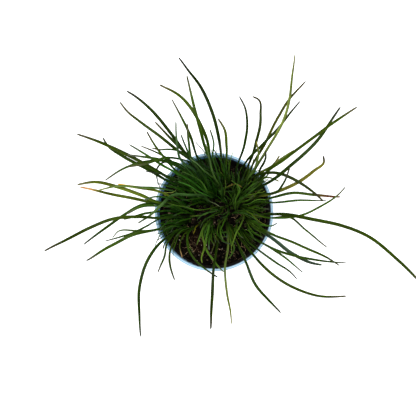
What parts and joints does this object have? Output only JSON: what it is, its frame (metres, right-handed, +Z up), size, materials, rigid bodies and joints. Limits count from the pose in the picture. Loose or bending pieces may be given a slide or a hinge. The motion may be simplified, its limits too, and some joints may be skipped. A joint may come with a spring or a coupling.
{
  "type": "potted garlic chives",
  "caption": "Garlic chives growing in a round tapered pot of pale blue plastic: dark soil and shoots of long narrow leaves that arch out over the rim.",
  "frame": {"origin": "middle of the pot's underside, on the surface that the pot stands on", "axes": "+Z up through the pot; +X and +Y run right and up in the view from straight above, +X along the plant's widest spread"},
  "size_m": [0.3221, 0.2388, 0.2274],
  "materials": {
    "pot": "pale blue moulded plastic with a soft sheen",
    "soil": "dark peaty potting soil with crumbs, fibres and a few pale grains",
    "leaf": "smooth green leaf with fine lengthwise veins, a few leaves and tips yellow or tan"
  },
  "bodies": {
    "root": {"pot": "pot", "soil": "soil", "shoot_back_1": "leaf", "shoot_back_2": "leaf", "shoot_back_3": "leaf", "shoot_back_4": "leaf", "shoot_back_left_1": "leaf", "shoot_back_left_2": "leaf", "shoot_back_left_3": "leaf", "shoot_back_left_4": "leaf", "shoot_back_left_5": "leaf", "shoot_back_left_6": "leaf", "shoot_back_left_7": "leaf", "shoot_back_left_8": "leaf", "shoot_back_left_9": "leaf", "shoot_left_1": "leaf", "shoot_left_2": "leaf", "shoot_left_3": "leaf", "shoot_left_4": "leaf", "shoot_left_5": "leaf", "shoot_left_6": "leaf", "shoot_left_7": "leaf", "shoot_left_8": "leaf", "shoot_front_1": "leaf", "shoot_front_2": "leaf", "shoot_front_3": "leaf", "shoot_front_4": "leaf", "shoot_front_5": "leaf", "shoot_front_6": "leaf", "shoot_front_7": "leaf", "shoot_front_right_1": "leaf", "shoot_front_right_2": "leaf", "shoot_front_right_3": "leaf", "shoot_front_right_4": "leaf", "shoot_right_1": "leaf", "shoot_right_2": "leaf", "shoot_right_3": "leaf", "shoot_right_4": "leaf", "shoot_right_5": "leaf", "shoot_right_6": "leaf", "shoot_right_7": "leaf", "shoot_back_right_1": "leaf", "shoot_back_right_2": "leaf", "shoot_back_right_3": "leaf", "shoot_back_right_4": "leaf", "shoot_back_right_5": "leaf", "shoot_middle_1": "leaf", "shoot_middle_2": "leaf", "shoot_middle_3": "leaf", "shoot_middle_4": "leaf", "shoot_middle_5": "leaf", "shoot_middle_6": "leaf", "shoot_middle_7": "leaf", "shoot_middle_8": "leaf"}
  },
  "joints": []
}
